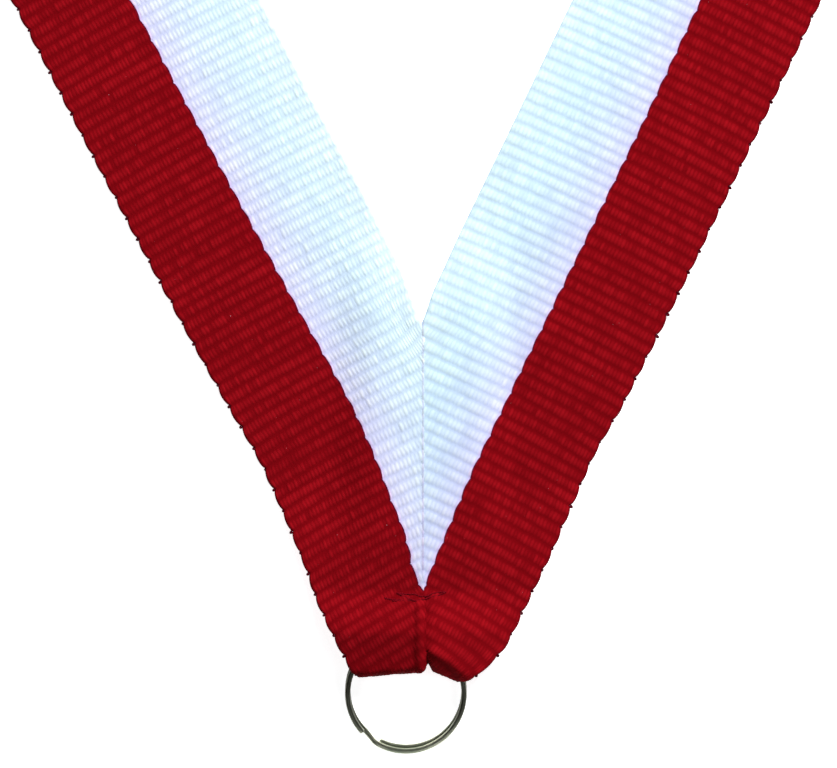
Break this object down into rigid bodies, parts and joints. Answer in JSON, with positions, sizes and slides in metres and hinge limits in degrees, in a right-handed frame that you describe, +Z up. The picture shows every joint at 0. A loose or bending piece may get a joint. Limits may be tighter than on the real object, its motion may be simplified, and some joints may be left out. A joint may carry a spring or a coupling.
{
  "type": "medal neck ribbon",
  "caption": "Two-colour grosgrain neck ribbon with a mitred V whose folded, bar-tacked tip carries a small split ring for a medal.",
  "frame": {"origin": "on the table under the middle of the whole footprint, ring to back of the neck arch", "axes": "+Z up from the table, +Y from the ring towards the nape, +X to the wearer's left"},
  "size_m": [0.2016, 0.3166, 0.0222],
  "materials": {
    "grosgrain": "ribbed polyester grosgrain, deep red outer stripe and white inner stripe",
    "red_thread": "fine spun polyester sewing thread, dark red",
    "ring_metal": "nickel-plated flat steel wire, polished"
  },
  "bodies": {
    "ribbon": {"neck_ribbon": "grosgrain", "seam_needle_thread": "red_thread", "seam_bobbin_thread": "red_thread"},
    "tip": {"ribbon_tip_fold": "grosgrain", "bar_tack_needle_thread": "red_thread", "bar_tack_bobbin_thread": "red_thread"},
    "ring": {"split_ring": "ring_metal"}
  },
  "joints": [
    {"name": "tip_swing", "type": "hinge", "parent": "ribbon", "child": "tip", "pos_m": [0.00292, -0.14177, 0.00115], "axis": [-1, 0, 0], "range_deg": [0, 120]},
    {"name": "ring_turn", "type": "hinge", "parent": "tip", "child": "ring", "pos_m": [0.00122, -0.15227, 0.00111], "axis": [0, -0.0872, 0.9962], "continuous": true}
  ]
}
